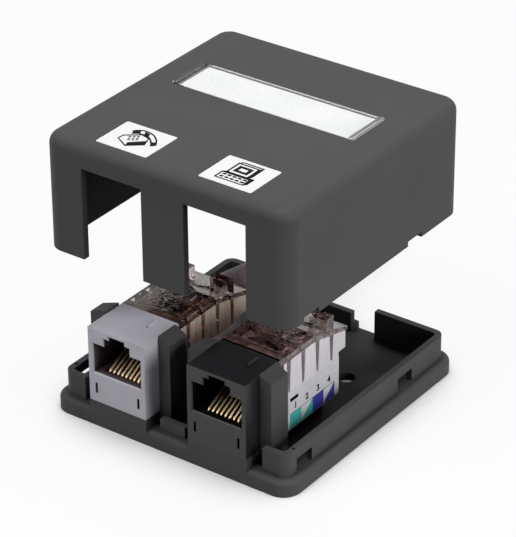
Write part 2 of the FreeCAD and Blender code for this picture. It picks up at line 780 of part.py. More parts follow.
def make_wire_comb(label, side):
    """The block behind the port: wires lie in its channel and leave through slots in its sides."""
    body = new_body(f"wire_comb_{label}", jack_base(side))
    bottom = -size.comb_drop
    foot_rear = comb_front + size.comb_length
    across = around(as_size(0), size.jack_width)
    prism(body, f"comb_{label}", "YZ_Plane", across,
          [(comb_front, bottom), (foot_rear, bottom), (foot_rear, comb_overhang_floor),
           (comb_rear, comb_overhang_floor), (comb_rear, comb_top - size.comb_rear_drop),
           (comb_flat_end, comb_top), (comb_front, comb_top)])
    block(body, f"channel_{label}", around(as_size(0), size.comb_channel_width),
          (comb_front + size.comb_channel_start, comb_rear),
          (comb_top - size.comb_channel_depth, comb_top), cut=True)
    gap = size.board_gap
    block(body, f"board_pocket_{label}", around(as_size(0), size.board_width + 2 * gap),
          (comb_front, comb_front + size.board_thickness + gap),
          (size.board_floor - gap, board_top + gap), cut=True)
    for index in range(COMB_SLOT_COUNT):
        slot_y = comb_slot(index)
        for slot_name, slot_side in SIDES.items():
            wall = mirrored((size.comb_channel_width / 2, size.jack_width / 2), slot_side)
            foot = around(slot_y, size.comb_slot_foot)
            mouth = around(slot_y, size.comb_slot_mouth)
            prism(body, f"slot_{label}_{slot_name}_{index + 1}", "YZ_Plane", wall,
                  [(foot[0], comb_slot_floor), (foot[1], comb_slot_floor),
                   (mouth[1], comb_top), (mouth[0], comb_top)], cut=True)
            pocket_x = around(size.terminal_offset * slot_side,
                              size.terminal_thickness + 2 * size.terminal_gap)
            block(body, f"terminal_pocket_{label}_{slot_name}_{index + 1}", pocket_x,
                  around(slot_y, size.terminal_width + 2 * size.terminal_gap),
                  (terminal_floor, comb_top), cut=True)

    # Each tooth between two slots has a shallow fold down its outer face
    for index in range(COMB_SLOT_COUNT - 1):
        fold_y = comb_slot(index) + size.comb_slot_pitch / 2
        fold = around(fold_y, size.tooth_fold_width)
        for fold_name, fold_side in SIDES.items():
            face = size.jack_width / 2
            outline = [(face, fold[0]), (face, fold[1]), (face - size.tooth_fold_depth, fold_y)]
            prism(body, f"fold_{label}_{fold_name}_{index + 1}", "XY_Plane",
                  (comb_slot_floor, comb_top),
                  [(across * fold_side, back) for across, back in outline], cut=True)


def make_terminals(label, side):
    """Forked blades that stand in the comb's slots, one row on each side."""
    for row_name, row_side in SIDES.items():
        blades = []
        for index in range(COMB_SLOT_COUNT):
            name = f"blade_{label}_{row_name}_{index + 1}"
            blade = doc.addObject("Part::Box", name)
            fork = doc.addObject("Part::Box", f"{name}_fork")
            blade_x = size.terminal_offset * row_side - size.terminal_thickness / 2
            blade_top = terminal_floor + size.terminal_height
            sizes_of = {
                blade: (size.terminal_thickness, size.terminal_width, size.terminal_height),
                fork: (size.terminal_thickness, size.terminal_fork_width, size.terminal_fork_depth),
            }
            floors = {blade: terminal_floor, fork: blade_top - size.terminal_fork_depth}
            for box, (length, width, height) in sizes_of.items():
                bind(box, "Length", length)
                bind(box, "Width", width)
                bind(box, "Height", height)
                place(box, (blade_x, comb_slot(index) - width / 2, floors[box]))
            forked = doc.addObject("Part::Cut", f"{name}_forked")
            forked.Base = blade
            forked.Tool = fork
            blades.append(forked)
        group = doc.addObject("Part::Compound", f"terminals_{label}_{row_name}")
        group.Label = group.Name
        group.Links = blades
        place(group, jack_base(side))
        nodes.append(group)


def make_cap(label, side):
    """The clear lid over the comb: hollow inside, with ribs that press the wires down."""
    body = new_body(f"wire_cap_{label}", jack_base(side))
    front = size.jack_depth - size.cap_seat_depth + size.cap_gap
    top = size.jack_height
    across = around(as_size(0), size.jack_width)
    rear_floor = comb_top_at(cap_rear)
    rear_top = rear_floor + size.cap_rear_thickness
    prism(body, f"cap_{label}", "YZ_Plane", across,
          [(front, comb_top), (comb_flat_end, comb_top), (cap_rear, rear_floor),
           (cap_rear, rear_top), (comb_flat_end, top), (front, top)])
    hollow_front = comb_front + size.cap_hollow_end
    hollow_rear = comb_rear - size.cap_hollow_end
    hollow = size.cap_hollow_depth
    prism(body, f"cap_hollow_{label}", "YZ_Plane", around(as_size(0), size.cap_hollow_width),
          [(hollow_front, comb_top), (comb_flat_end, comb_top), (hollow_rear, comb_top_at(hollow_rear)),
           (hollow_rear, comb_top_at(hollow_rear) + hollow / 2), (comb_flat_end, comb_top + hollow),
           (hollow_front, comb_top + hollow)], cut=True)
    for index in range(COMB_SLOT_COUNT):
        slot_y = comb_slot(index)
        seat = comb_top_at(slot_y)
        block(body, f"cap_rib_{label}_{index + 1}", around(as_size(0), size.cap_rib_length),
              around(slot_y, size.cap_rib_width), (seat - size.cap_rib_reach, seat + hollow))
    disc_top = top + size.cap_disc_height
    rod(body, f"cap_disc_{label}", as_size(0), size.cap_disc_back,
        (top - size.cap_hollow_depth, disc_top), size.cap_disc_radius)
    rod(body, f"cap_dish_{label}", as_size(0), size.cap_disc_back, (top, disc_top),
        size.cap_disc_radius - size.cap_rim_width, cut=True)
    disc_front = size.cap_disc_back - size.cap_disc_radius
    block(body, f"cap_rim_opening_{label}", around(as_size(0), size.cap_rim_opening),
          (disc_front, disc_front + 2 * size.cap_rim_width), (top, disc_top), cut=True)
    ear_y = (size.cap_ear_start, size.cap_ear_start + size.cap_ear_depth)
    for ear_name, ear_side in SIDES.items():
        ear_x = mirrored((size.jack_width / 2 - size.cap_ear_width, size.jack_width / 2), ear_side)
        block(body, f"cap_ear_{label}_{ear_name}", ear_x, ear_y,
              (comb_top_at(ear_y[0]), top + size.cap_ear_rise))


def make_board(label, side):
    body = new_body(f"contact_board_{label}", jack_base(side))
    block(body, f"board_{label}", around(as_size(0), size.board_width),
          (comb_front, comb_front + size.board_thickness), (size.board_floor, board_top))


def make_wiring_labels(label, side):
    label_y = (comb_front + size.wiring_label_start, comb_front + size.comb_length)
    low = size.wiring_label_floor - size.comb_drop
    for face_name, face_side in SIDES.items():
        name = f"wiring_label_{label}_{face_name}"
        body = new_body(name, jack_base(side))
        face = size.jack_width / 2
        block(body, f"{name}_film", mirrored((face, face + size.wiring_label_thickness), face_side),
              label_y, (low, comb_slot_floor - size.wiring_label_head))


def make_conductor(number, side, lane, layer, index):
    """One core of the cable, along the comb's channel and out through a slot."""
    name = f"conductor_{number}"
    body = new_body(name, jack_base(SIDES["left"]))
    radius = size.conductor_diameter / 2
    lane_x = size.conductor_lane * lane * side
    height = cable_exit_height + size.conductor_layer * layer
    start_y = cap_rear + size.cable_start_gap - size.conductor_gap
    slot_y = comb_slot(index)
    outer_x = (size.jack_width / 2 - size.conductor_tail) * side
    corner = size.conductor_corner
    turns = [(lane_x, start_y), (lane_x, slot_y + corner), (lane_x + corner * side, slot_y),
             (outer_x, slot_y)]

    path = new_sketch(body, f"{name}_path", "XY_Plane", height)
    draw_path(path, turns)
    flats = [math.tau * (corner_index + 0.5) / CORE_FLATS for corner_index in range(CORE_FLATS)]
    outline = [(lane_x + radius * math.cos(angle), height + radius * math.sin(angle)) for angle in flats]
    sweep(body, name, path, start_y, outline)


def make_conductors():
    number = 0
    for side in SIDES.values():
        for index in range(COMB_SLOT_COUNT):
            number += 1
            lane = 1.5 if index >= COMB_SLOT_COUNT / 2 else 0.5
            layer = 0.5 if index % 2 else -0.5
            make_conductor(number, side, lane, layer, index)


def make_cable():
    """A round cable of straight runs joined by arcs as large as the runs allow."""
    start = FreeCAD.Vector(jack_centre(SIDES["left"]).value,
                           (jack_front + cap_rear + size.cable_start_gap).value,
                           (size.ledge_height + cable_exit_height).value)
    route = [start]
    for step in CABLE_STEPS:
        route.append(route[-1] + FreeCAD.Vector(*step))
    edges = []
    at = route[0]
    for before, corner, after in zip(route, route[1:], route[2:]):
        back = (before - corner).normalize()
        ahead = (after - corner).normalize()
        reach = CABLE_ARC_SHARE * min((before - corner).Length, (after - corner).Length)
        turn = math.pi - back.getAngle(ahead)
        radius = reach / math.tan(turn / 2)
        print(f"cable turn {math.degrees(turn):.1f} degrees, radius {radius:.1f}")
        leave = corner + back * reach
        join = corner + ahead * reach
        inward = (back + ahead).normalize()
        middle = corner + inward * (radius / math.cos(turn / 2) - radius)
        edges.append(Part.LineSegment(at, leave).toShape())
        edges.append(Part.Arc(leave, middle, join).toShape())
        at = join
    edges.append(Part.LineSegment(at, route[-1]).toShape())
    path = Part.Wire(edges)
    first_run = route[1] - route[0]
    section = Part.Wire(Part.makeCircle(size.cable_diameter.value / 2, start, first_run))
    cable = doc.addObject("Part::Feature", "cable")
    cable.Label = "cable"
    cable.Shape = path.makePipeShell([section], True, False)
    expected = path.Length * math.pi * (size.cable_diameter.value / 2) ** 2
    print(f"cable length {path.Length:.1f}, volume {cable.Shape.Volume:.1f} of {expected:.1f}")
    nodes.append(cable)


def write_parts():
    doc.recompute()
    for item in doc.Objects:
        if "Invalid" in item.State or "Error" in item.State:
            raise RuntimeError(f"{item.Label} could not be built: {item.State}")
    for node in nodes:
        if node.Shape.isNull() or not node.Shape.isValid():
            raise RuntimeError(f"{node.Label} has no valid shape")
    os.makedirs("parts", exist_ok=True)
    for node in nodes:
        node.Shape.exportStep(f"parts/{node.Label}.step")
        print(node.Label, len(node.Shape.Solids), round(node.Shape.Volume, 2))


make_tray()
make_cover()
make_cover_screw()
make_label()
for label, side in SIDES.items():
    make_icon_plate(label, side)
    make_jack_housing(label, side)
    make_wire_comb(label, side)
    make_cap(label, side)
    make_board(label, side)
    make_terminals(label, side)
    make_wiring_labels(label, side)
    for index in range(CONTACT_COUNT):
        make_contact(label, side, index)
make_conductors()
make_cable()
write_parts()
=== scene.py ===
# %% [markdown]
# # A surface mount jack box
#
# This lesson dresses a small wall box for two data jacks: a dark tray, two jacks with
# smoky clear caps over their wires, and a cover that is shown lifted off. The solids come
# from the CAD model, so every piece already has its true size and place. What is left for
# Blender is the look: finishes, printing, the cable, the lights and the camera.

# %% Load the frame
import math

import bmesh
import bpy
from mathutils import Matrix, Quaternion, Vector


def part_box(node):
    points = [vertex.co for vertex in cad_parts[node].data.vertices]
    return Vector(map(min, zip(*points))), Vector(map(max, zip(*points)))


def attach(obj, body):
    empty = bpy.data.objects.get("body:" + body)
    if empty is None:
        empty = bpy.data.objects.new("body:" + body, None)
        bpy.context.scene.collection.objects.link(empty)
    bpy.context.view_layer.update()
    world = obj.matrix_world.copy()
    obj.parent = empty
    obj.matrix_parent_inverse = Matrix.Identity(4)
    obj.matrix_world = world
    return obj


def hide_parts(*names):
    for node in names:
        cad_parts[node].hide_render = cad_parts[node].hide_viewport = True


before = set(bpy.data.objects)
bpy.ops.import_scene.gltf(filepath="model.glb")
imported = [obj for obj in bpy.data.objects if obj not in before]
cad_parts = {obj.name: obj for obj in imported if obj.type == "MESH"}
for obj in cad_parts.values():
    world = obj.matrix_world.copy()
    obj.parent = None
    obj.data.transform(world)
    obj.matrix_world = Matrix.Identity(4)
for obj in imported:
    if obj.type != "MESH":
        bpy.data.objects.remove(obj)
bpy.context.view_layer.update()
MM = 0.001

# %% [markdown]
# The camera looks down on the box from its front right corner, from some way off and
# through a long lens, which is how small goods are usually photographed: lines that are
# level stay nearly parallel. A rotation can be worked out from the point that the camera
# looks at. The small roll after it levels the picture the way the photograph is.

# %% Camera
CAMERA_PLACE = Vector((293.1, -402.2, 314.2)) * MM
CAMERA_AIM = Vector((-7.9, 11.6, 20.3)) * MM
CAMERA_ROLL = math.radians(-0.37)
CAMERA_LENS = 190.3
CAMERA_SENSOR = 36

bpy.ops.object.camera_add(location=CAMERA_PLACE)
camera = bpy.context.object
camera.name = "camera"
camera.data.sensor_width = CAMERA_SENSOR
camera.data.lens = CAMERA_LENS
camera.rotation_mode = "QUATERNION"
facing = (CAMERA_AIM - CAMERA_PLACE).to_track_quat("-Z", "Y")
camera.rotation_quaternion = facing @ Quaternion((0, 0, 1), CAMERA_ROLL)
bpy.context.scene.camera = camera
bpy.context.scene.view_settings.view_transform = "Standard"
print("camera looks from", [round(place / MM) for place in camera.location], "mm")

# %% [markdown]
# Plastic, film and paint are described below by the tone that they show on a screen, from
# 0 to 255. Blender's shaders want linear light, so one small function turns the first into
# the second.
#
# A material built from nodes is mostly one step over and over: add a node and fill its
# sockets, with a number or with what another node gives. Two small functions do that, and
# a socket's name is written with underscores for its spaces.

# %% Tones and sockets
def tone(*screen):
    """Linear colour of a tone as a screen shows it, by the screen's standard curve."""
    linear = []
    for level in screen:
        share = level / 255
        linear.append(share / 12.92 if share <= 0.04045 else ((share + 0.055) / 1.055) ** 2.4)
    return (*linear, 1.0)


def plug(owner, socket, value):
    """Puts a value, or another node's output, on one socket."""
    if isinstance(value, bpy.types.NodeSocket):
        owner.node_tree.links.new(value, socket)
    else:
        socket.default_value = value


def fill(owner, node, **sockets):
    """Fills a node's sockets by name."""
    for name, value in sockets.items():
        plug(owner, node.inputs[name.replace("_", " ")], value)


def add_node(owner, kind, **sockets):
    """A new node of a material or the world, with its sockets filled."""
    node = owner.node_tree.nodes.new(kind)
    fill(owner, node, **sockets)
    return node


def new_material(name):
    """A material and its shader."""
    material = bpy.data.materials.new(name)
    material.use_nodes = True
    return material, material.node_tree.nodes["Principled BSDF"]


# %% [markdown]
# Every finish needs some of the same few nodes: the piece's own coordinates, a noise on
# them, a colour or a value that follows the noise, and a relief made from it. Patterns on the
# piece's own coordinates have no seams, and they stay in place when the piece moves. A Mix
# node has several sockets of one name, so its colour sockets go by number.

# %% Nodes that finishes share
NOISE_LOW = 0.25
NOISE_HIGH = 0.75
MIX_AMOUNT = 0
MIX_FIRST = 6
MIX_SECOND = 7
MIX_RESULT = 2


def own_place(material):
    return add_node(material, "ShaderNodeTexCoord").outputs["Object"]


def noise(material, place, scale, detail):
    """A noise with so many blotches to the metre."""
    node = add_node(material, "ShaderNodeTexNoise", Vector=place, Scale=scale, Detail=detail)
    return node.outputs["Fac"]


def per_metre(size):
    """How many blotches of a size in mm there are to the metre."""
    return 1 / (size * MM)


def ranged(owner, value, from_low, from_high, to_low, to_high):
    """A value carried over from one range to another, and held at both ends."""
    node = add_node(owner, "ShaderNodeMapRange", Value=value, From_Min=from_low, From_Max=from_high,
                    To_Min=to_low, To_Max=to_high)
    return node.outputs["Result"]


def spread(material, driver, low, high):
    """A value that runs from low to high as a noise goes over its usual range."""
    return ranged(material, driver, NOISE_LOW, NOISE_HIGH, low, high)


def uneven(material, driver, middle, below, above):
    """A roughness that a noise carries a little below and above its middle."""
    return spread(material, driver, middle - below, middle + above)


def shades(material, driver, dark, light, low=0.3, high=0.7):
    """A colour that runs between two tones as the driver rises."""
    ramp = add_node(material, "ShaderNodeValToRGB", Fac=driver)
    ramp.color_ramp.elements[0].position = low
    ramp.color_ramp.elements[0].color = dark
    ramp.color_ramp.elements[1].position = high
    ramp.color_ramp.elements[1].color = light
    return ramp.outputs["Color"]


def mixed_tones(material, amount, first, second):
    """One colour where the amount is 0 and another where it is 1."""
    mix = add_node(material, "ShaderNodeMix")
    mix.data_type = "RGBA"
    plug(material, mix.inputs[MIX_AMOUNT], amount)
    plug(material, mix.inputs[MIX_FIRST], first)
    plug(material, mix.inputs[MIX_SECOND], second)
    return mix.outputs[MIX_RESULT]


def mixed_shaders(owner, amount, first, second):
    """One shader where the amount is 0 and another where it is 1."""
    mix = add_node(owner, "ShaderNodeMixShader", Fac=amount)
    plug(owner, mix.inputs[1], first)
    plug(owner, mix.inputs[2], second)
    return mix.outputs["Shader"]


def relief_of(material, height, strength, depth, **more):
    """A normal bent by a height map, whose relief is a depth in mm."""
    bump = add_node(material, "ShaderNodeBump", Height=height, Strength=strength,
                    Distance=depth * MM, **more)
    return bump.outputs["Normal"]


# %% [markdown]
# The inside of a jack's port, and the walls inside the tray and the cover, are painted
# darker here as the shade that falls there. The Ambient Occlusion node tells how closed in a
# place is. It counts the piece's own walls only, since a neighbour can be lifted away. Where
# a place is closed in, the tone falls to a darker, painted shade and most of the gloss goes.

# %% Painted shade in recesses
CLOSED_IN = 0.45
OPEN = 0.85
SHADE_SAMPLES = 8
GLOSS_IN_PAINTED_SHADE = 0.1


def dust_amount(material, reach):
    """How much painted shade a place gets, from 0 in the open to 1 where walls within a reach in mm close
    it in.
    """
    sky_seen = add_node(material, "ShaderNodeAmbientOcclusion", Distance=reach * MM)
    sky_seen.samples = SHADE_SAMPLES
    sky_seen.only_local = True
    return ranged(material, sky_seen.outputs["AO"], CLOSED_IN, OPEN, 1.0, 0.0)


# %% [markdown]
# The tray and the cover come out of a mould whose steel was etched, so they have a fine
# matt grain, and light breaks softly on every edge because no mould leaves an edge sharp.
# The grain could be a texture picture, but a noise does it with no picture and no seams. The
# Bevel node rounds the edges for the light only. Where its normal is turned away from the
# face's own there is an edge, and those are made a little paler, as handling does. The jacks
# and the combs are moulded too, only smoother.

# %% Moulded plastic
PLASTIC_IOR = 1.5
MOTTLE_SCALE = 90.0
GRAIN_DEPTH = 0.02
EDGE_FULL = 0.80
EDGE_NONE = 0.985
EDGE_WEAR = 0.7
PALEST = 0.95


def edge_amount(material, rounded):
    """How much of an edge a place is, from how far its rounded normal is turned."""
    turned = add_node(material, "ShaderNodeVectorMath")
    turned.operation = "DOT_PRODUCT"
    plug(material, turned.inputs[0], rounded)
    plug(material, turned.inputs[1], add_node(material, "ShaderNodeNewGeometry").outputs["Normal"])
    return ranged(material, turned.outputs["Value"], EDGE_FULL, EDGE_NONE, EDGE_WEAR, 0.0)


def scaled_tone(base, factor):
    return (*[min(level * factor, PALEST) for level in base[:3]], 1.0)


def moulded(name, screen, roughness, gloss=0.2, grain=0.28, relief=0.5, edge=0.22, paler=1.35,
            mottle=0.06, painted_shade_tone=None, reach=None):
    """Moulded plastic of a tone, with a grain in mm, edges worn pale, and painted shade in recesses."""
    material, shader = new_material(name)
    place = own_place(material)
    broad = noise(material, place, MOTTLE_SCALE, detail=4.0)
    fine = noise(material, place, per_metre(grain), detail=3.0)
    rounded = add_node(material, "ShaderNodeBevel", Radius=edge * MM).outputs["Normal"]

    base = tone(*screen)
    body = shades(material, broad, scaled_tone(base, 1 - mottle), scaled_tone(base, 1 + mottle))
    colour = mixed_tones(material, edge_amount(material, rounded), body, scaled_tone(base, paler))
    # Painted shade: where the piece's walls close a place in, its tone darkens and its gloss drops.
    if painted_shade_tone:
        painted_shade = dust_amount(material, reach)
        colour = mixed_tones(material, painted_shade, colour, tone(*painted_shade_tone))
        gloss = ranged(material, painted_shade, 0.0, 1.0, gloss, gloss * GLOSS_IN_PAINTED_SHADE)
    fill(material, shader, Base_Color=colour, Specular_IOR_Level=gloss, IOR=PLASTIC_IOR,
         Roughness=uneven(material, fine, roughness, below=0.05, above=0.07),
         Normal=relief_of(material, fine, relief, GRAIN_DEPTH, Normal=rounded))
    return material


JACK_SKIN = {"grain": 0.5, "relief": 0.2, "reach": 14.0}
COMB_SKIN = {"roughness": 0.4, "gloss": 0.4, "grain": 0.6, "relief": 0.15, "paler": 1.05}
# The second tone of the tray, the cover and the two jacks is painted shade for their closed-in places.
tray_plastic = moulded("tray_plastic", (77, 77, 78), roughness=0.6, painted_shade_tone=(66, 66, 67), reach=16.0)
cover_plastic = moulded("cover_plastic", (75, 75, 75), roughness=0.6, painted_shade_tone=(14, 14, 14), reach=60.0)
grey_jack_plastic = moulded("grey_jack_plastic", (214, 210, 221), roughness=0.42, gloss=0.3,
                            paler=1.15, painted_shade_tone=(70, 58, 61), **JACK_SKIN)
black_jack_plastic = moulded("black_jack_plastic", (28, 26, 30), roughness=0.38, gloss=0.5,
                             paler=1.8, painted_shade_tone=(16, 13, 14), **JACK_SKIN)
# The left comb is the same white plastic as the right one: its beige tone is painted shade, the warm
# shade that falls between the two jacks.
warm_shade_comb_plastic = moulded("warm_shade_comb_plastic", (206, 192, 178), **COMB_SKIN)
white_comb_plastic = moulded("white_comb_plastic", (240, 235, 241), **COMB_SKIN)
print("six moulded plastics")

# %% [markdown]
# The caps over the wires are clear plastic with a brown smoky tint, and the label window is
# clear with none. Both are solid pieces, so light bends on its way in and again on its way
# out: a shader with full transmission does that by itself, once it knows how strongly the
# plastic bends light. Real clear mouldings are never optically flat, so a slow noise makes
# their surfaces swim a little, and that gives the broken glints of a small clear part.
#
# One thing has to be helped. Cycles lets no lamp shine straight through a bending surface, so
# the label and the combs would lie in the dark. Light Path tells when a ray only asks whether
# a lamp is hidden, and such a ray goes through a plain tinted Transparent shader instead.

# %% Clear plastic
CLEAR_IOR = 1.58
RIPPLE_DEPTH = 0.1


def clear_plastic(name, dark, light, roughness, ripple, ripple_size):
    """Clear plastic between two tints, whose surface swims by ripples of a size in mm."""
    material, shader = new_material(name)
    slow = noise(material, own_place(material), per_metre(ripple_size), detail=2.0)
    tint = shades(material, slow, dark, light)
    fill(material, shader, Base_Color=tint, Transmission_Weight=1.0, IOR=CLEAR_IOR,
         Roughness=uneven(material, slow, roughness, below=0.0, above=0.06),
         Normal=relief_of(material, slow, ripple, RIPPLE_DEPTH))
    lamp_ray = add_node(material, "ShaderNodeLightPath").outputs["Is Shadow Ray"]
    let_through = add_node(material, "ShaderNodeBsdfTransparent", Color=tint).outputs["BSDF"]
    fill(material, material.node_tree.nodes["Material Output"],
         Surface=mixed_shaders(material, lamp_ray, shader.outputs["BSDF"], let_through))
    return material


smoky_cap = clear_plastic("smoky_cap", dark=(0.22, 0.14, 0.13, 1), light=(0.86, 0.76, 0.73, 1),
                          roughness=0.02, ripple=1.0, ripple_size=1.3)
clear_window = clear_plastic("clear_window", dark=(0.97, 0.98, 0.99, 1), light=(1.0, 1.0, 1.0, 1),
                             roughness=0.02, ripple=0.05, ripple_size=6.0)
print("two clear plastics")

# %% [markdown]
# Metal is all reflection. The springs in the ports are gold plated wire, the blades that
# grip the wires are tinned, and the cover's screw is zinc plated steel. One function serves
# the three: a metal's colour is the colour of its reflections, a fine noise scatters them,
# and drawn wire or a turned screw has streaks along one direction, which a noise squeezed
# along two axes gives.

# %% Metals
METAL_NOISE = 1500.0
METAL_RELIEF = 0.25
METAL_DEPTH = 0.01


def plated_metal(name, dark, light, roughness, streaks=(1, 1, 1)):
    """Plated metal between two tones, drawn out along the axes whose streaks are smallest."""
    material, shader = new_material(name)
    drawn = add_node(material, "ShaderNodeMapping", Vector=own_place(material), Scale=streaks)
    streaky = noise(material, drawn.outputs["Vector"], METAL_NOISE, detail=3.0)
    fill(material, shader, Metallic=1.0, Base_Color=shades(material, streaky, dark, light),
         Roughness=uneven(material, streaky, roughness, below=0.06, above=0.1),
         Normal=relief_of(material, streaky, METAL_RELIEF, METAL_DEPTH))
    return material


contact_gold = plated_metal("contact_gold", dark=(0.92, 0.58, 0.26, 1), light=(1.0, 0.88, 0.60, 1),
                            roughness=0.38, streaks=(3, 0.2, 0.2))
terminal_tin = plated_metal("terminal_tin", dark=(0.55, 0.55, 0.56, 1), light=(0.80, 0.80, 0.80, 1),
                            roughness=0.3, streaks=(1, 1, 0.2))
screw_steel = plated_metal("screw_steel", dark=(0.45, 0.45, 0.47, 1), light=(0.72, 0.72, 0.74, 1),
                           roughness=0.28, streaks=(1, 1, 0.15))
print("three metals")

# %% [markdown]
# Paper has fibres, which show as faint flecks and a very soft relief, and one function makes
# it and its relatives: the white plates under the pictures, the slightly glossy film on the
# jacks' sides, and ink, which is laid on as its own thin layer further on.

# %% Paper, film and ink
SHEET_DEPTH = 0.02


def sheet_finish(name, dark, light, roughness, grain, relief, coat=0.0, gloss=0.5):
    """A sheet between two tones, with flecks of a size in mm and a faint relief."""
    material, shader = new_material(name)
    flecks = noise(material, own_place(material), per_metre(grain), detail=5.0)
    fill(material, shader, Base_Color=shades(material, flecks, tone(*dark), tone(*light)),
         Coat_Weight=coat, Specular_IOR_Level=gloss,
         Roughness=uneven(material, flecks, roughness, below=0.04, above=0.06),
         Normal=relief_of(material, flecks, relief, SHEET_DEPTH))
    return material


def ink(name, dark, light, roughness=0.4, gloss=0.5):
    return sheet_finish(name, dark, light, roughness, grain=0.3, relief=0.1, gloss=gloss)


label_paper = sheet_finish("label_paper", (226, 226, 225), (236, 236, 235),
                           roughness=0.7, grain=0.5, relief=0.25)
icon_plastic = sheet_finish("icon_plastic", (246, 246, 247), (252, 252, 252),
                            roughness=0.35, grain=0.8, relief=0.1)
wiring_film = sheet_finish("wiring_film", (236, 235, 240), (246, 246, 250),
                           roughness=0.32, grain=1.2, relief=0.1, coat=0.3)
black_ink = ink("black_ink", (14, 14, 15), (24, 24, 25), roughness=0.5, gloss=0.05)
teal_ink = ink("teal_ink", (70, 196, 186), (92, 212, 202))
blue_ink = ink("blue_ink", (66, 66, 172), (82, 82, 194))
orange_ink = ink("orange_ink", (214, 104, 34), (230, 122, 46))
brown_ink = ink("brown_ink", (104, 66, 44), (120, 78, 54))
print("three sheets and five inks")

# %% [markdown]
# The board inside each jack is green lacquer over woven glass. Two waves at right angles,
# multiplied, make the weave: it shows both as a change of green and as a faint relief.

# %% Woven board
WEAVE_SCALE = 400.0
BOARD_DARK = (0.01, 0.07, 0.03, 1)
BOARD_LIGHT = (0.03, 0.16, 0.07, 1)


def woven_board(name):
    material, shader = new_material(name)
    place = own_place(material)
    weave = add_node(material, "ShaderNodeMath")
    weave.operation = "MULTIPLY"
    for socket, direction in zip(weave.inputs, ("X", "Z")):
        threads = add_node(material, "ShaderNodeTexWave", Vector=place, Scale=WEAVE_SCALE, Distortion=1.0)
        threads.bands_direction = direction
        plug(material, socket, threads.outputs["Fac"])
    woven = weave.outputs["Value"]
    fill(material, shader, Roughness=0.3,
         Base_Color=shades(material, woven, BOARD_DARK, BOARD_LIGHT, low=0, high=1),
         Normal=relief_of(material, woven, strength=0.2, depth=SHEET_DEPTH))
    return material


board_laminate = woven_board("board_laminate")
print("one woven board")

# %% [markdown]
# The cable's jacket is soft plastic with a faint pebble, and it picks up dust. Its eight
# cores come in four colours. In each pair one core is plain and the other is white with
# bands of the pair's colour, and a wave across the core makes those bands.

# %% Jacket and cores
PEBBLE_SCALE = 1800.0
JACKET_DUST_SCALE = 160.0
JACKET_DUST_PALER = 1.3
BAND_SCALE = 130.0
CORE_NOISE = 700.0
CORE_DEEP = 0.85
CORE_WHITE = tone(236, 234, 230)
CORE_TONES = {"blue": tone(30, 70, 178), "orange": tone(226, 112, 32),
              "green": tone(28, 128, 62), "brown": tone(112, 68, 40)}


def cable_skin(name, screen):
    material, shader = new_material(name)
    place = own_place(material)
    pebble = noise(material, place, PEBBLE_SCALE, detail=3.0)
    dust = noise(material, place, JACKET_DUST_SCALE, detail=5.0)
    base = tone(*screen)
    fill(material, shader, Sheen_Weight=0.1,
         Base_Color=shades(material, dust, base, scaled_tone(base, JACKET_DUST_PALER)),
         Roughness=spread(material, dust, low=0.42, high=0.58),
         Normal=relief_of(material, pebble, strength=0.35, depth=0.03))
    return material


def core_insulation(name, colour, banded):
    material, shader = new_material(name)
    place = own_place(material)
    if banded:
        wave = add_node(material, "ShaderNodeTexWave", Vector=place, Scale=BAND_SCALE, Distortion=0.5)
        wave.bands_direction = "DIAGONAL"
        driver = wave.outputs["Fac"]
        skin = shades(material, driver, colour, CORE_WHITE, low=0.25, high=0.32)
    else:
        driver = noise(material, place, CORE_NOISE, detail=2.0)
        skin = shades(material, driver, scaled_tone(colour, CORE_DEEP), colour)
    fill(material, shader, Base_Color=skin, Roughness=spread(material, driver, low=0.28, high=0.36))
    return material


cable_jacket = cable_skin("cable_jacket", (116, 96, 100))
cores = {}
for core_name, core_colour in CORE_TONES.items():
    cores[core_name] = core_insulation(f"core_{core_name}", core_colour, False)
    cores[f"white_{core_name}"] = core_insulation(f"core_white_{core_name}", core_colour, True)
print("a jacket and", len(cores), "cores")

# %% [markdown]
# Now each CAD solid gets its finish. The solids themselves are never touched: only the
# material slot changes. A list of name beginnings is enough, since the solids are named for
# what they are, and the longest beginning that fits a name is the one that counts.

# %% Finishes on the CAD solids
FINISHES = {
    "base": tray_plastic, "cover": cover_plastic, "cover_screw": screw_steel,
    "paper_label": label_paper, "label_window": clear_window, "icon_plate": icon_plastic,
    "jack_housing_left": grey_jack_plastic, "jack_housing_right": black_jack_plastic,
    "wire_comb_left": warm_shade_comb_plastic, "wire_comb_right": white_comb_plastic,
    "wire_cap": smoky_cap, "contact_left": contact_gold, "contact_right": contact_gold,
    "contact_board": board_laminate, "terminals": terminal_tin,
    "wiring_label": wiring_film, "cable": cable_jacket,
}


def paint(thing, material):
    thing.data.materials.clear()
    thing.data.materials.append(material)


for node_name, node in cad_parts.items():
    if node_name.startswith("conductor_"):
        number = int(node_name.split("_")[1]) - 1
        colour_name = list(CORE_TONES)[number % 4]
        paint(node, cores[colour_name if number % 2 else f"white_{colour_name}"])
    else:
        matches = [start for start in FINISHES if node_name.startswith(start)]
        paint(node, FINISHES[max(matches, key=len)])
print("finished", len(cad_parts), "solids")

# %% [markdown]
# The cable leaves the back of the left jack, bends down over the tray's rear edge and comes
# to lie on the table by its cut end. A cable has one smooth line, so it is a curve and not a
# mesh: a NURBS spline goes smoothly past a handful of points, and a round bevel gives it its
# thickness. The order and the end setting come after the points, because the spline can't
# take them before it has any.

# %% Cable
CABLE_POINTS = [(-12.35, 4.6, 17.5), (-12.35, 27.5, 13.9), (-12.75, 50.5, 5.4),
                (-14.25, 72.9, 2.8), (-15.85, 85.5, 2.8)]
CABLE_DIAMETER = 5.5


def nurbs_line(name, points):
    curve = bpy.data.curves.new(name, "CURVE")
    curve.dimensions = "3D"
    spline = curve.splines.new("NURBS")
    spline.points.add(len(points) - 1)
    for point, place in zip(spline.points, points):
        point.co = (*[level * MM for level in place], 1)
    spline.order_u = 3
    spline.use_endpoint_u = True
    spline.resolution_u = 24
    line = bpy.data.objects.new(name, curve)
    bpy.context.scene.collection.objects.link(line)
    return line


